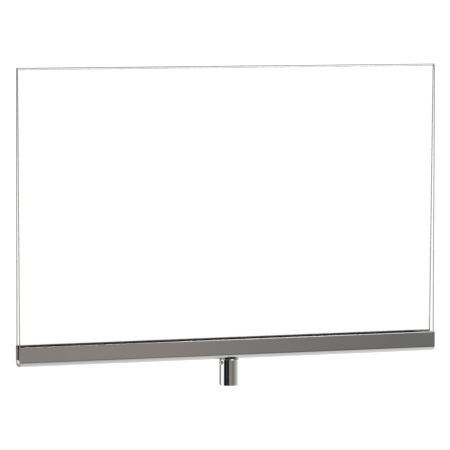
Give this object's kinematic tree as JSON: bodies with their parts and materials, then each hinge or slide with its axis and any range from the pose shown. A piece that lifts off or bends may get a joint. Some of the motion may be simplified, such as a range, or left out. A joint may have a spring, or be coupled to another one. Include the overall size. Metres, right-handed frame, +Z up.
{
  "type": "sneeze guard",
  "caption": "Clear folded sheet standing in a full-width chromed channel, which swivels on a short round fitting that screws onto a post.",
  "frame": {"origin": "centre of the threaded hole's mouth, on the underside of the round fitting", "axes": "+X along the channel, +Y to the rear, +Z up, away from the post"},
  "size_m": [0.559, 0.0254, 0.4125],
  "materials": {
    "clear_acrylic": "polished",
    "chrome_plate": "bright chrome plate on steel",
    "black_vinyl": "matt, grey below a black bead",
    "white_silicone": "satin",
    "zinc_steel": "zinc plated",
    "spring_steel": "plain spring steel",
    "turned_steel": "turned",
    "washer_steel": "smooth, plated",
    "nickel_steel": "nickel plated"
  },
  "bodies": {
    "post_fitting": {"fitting": "chrome_plate"},
    "set_screw": {"grub_screw": "nickel_steel"},
    "carrier": {"channel": "chrome_plate", "glazing_liner": "black_vinyl", "setting_blocks": "white_silicone", "fixing_screw": "zinc_steel", "lock_washer": "spring_steel", "swivel_pin": "turned_steel", "swivel_washer": "washer_steel"},
    "sheet": {"clear_panel": "clear_acrylic"}
  },
  "joints": [
    {"name": "channel_swivel", "type": "hinge", "parent": "post_fitting", "child": "carrier", "pos_m": [0, 0, 0.0345], "axis": [0, 0, 1], "continuous": true},
    {"name": "sheet_lift", "type": "slide", "parent": "carrier", "child": "sheet", "axis": [0, 0, 1], "range_m": [0, 0.0175]},
    {"name": "set_screw_travel", "type": "slide", "parent": "post_fitting", "child": "set_screw", "axis": [-0.9397, -0.342, 0], "range_m": [0, 0.002]}
  ]
}
